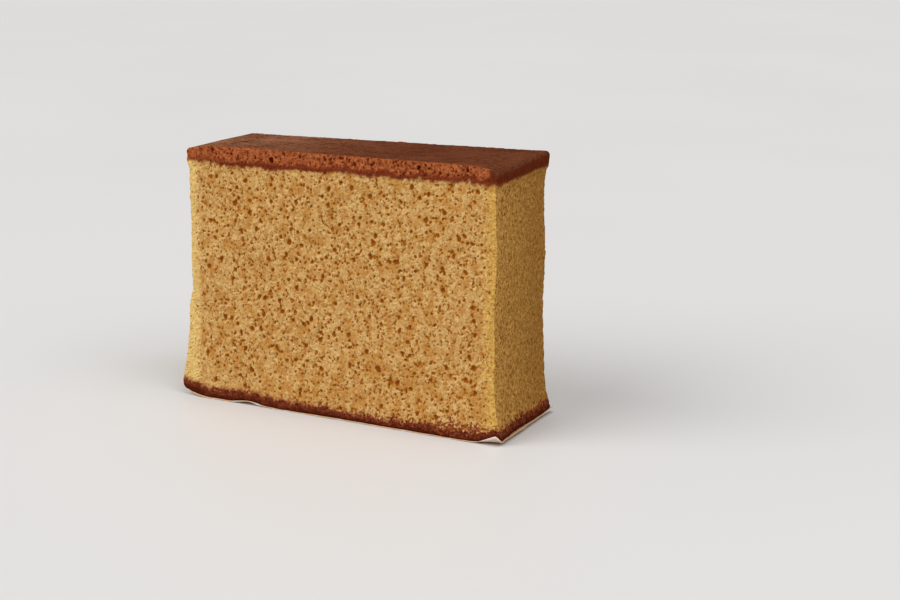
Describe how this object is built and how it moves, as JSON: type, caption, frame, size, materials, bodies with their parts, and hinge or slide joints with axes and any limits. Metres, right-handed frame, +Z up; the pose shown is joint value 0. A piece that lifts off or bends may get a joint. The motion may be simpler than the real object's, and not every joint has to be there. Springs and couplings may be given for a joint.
{
  "type": "castella slice",
  "caption": "Upright slice of castella sponge cake with a smooth browned top, open crumb on its cut sides, a dark base and its baking paper.",
  "frame": {"origin": "on the table, under the middle of the box round the slice and its paper", "axes": "+X along the slice's width, -Y out of the front cut face, +Z up"},
  "size_m": [0.0898, 0.0318, 0.0647],
  "materials": {
    "crumb": "matte",
    "baking_paper": "matte"
  },
  "bodies": {
    "root": {"castella": "crumb", "base_paper": "baking_paper"}
  },
  "joints": []
}
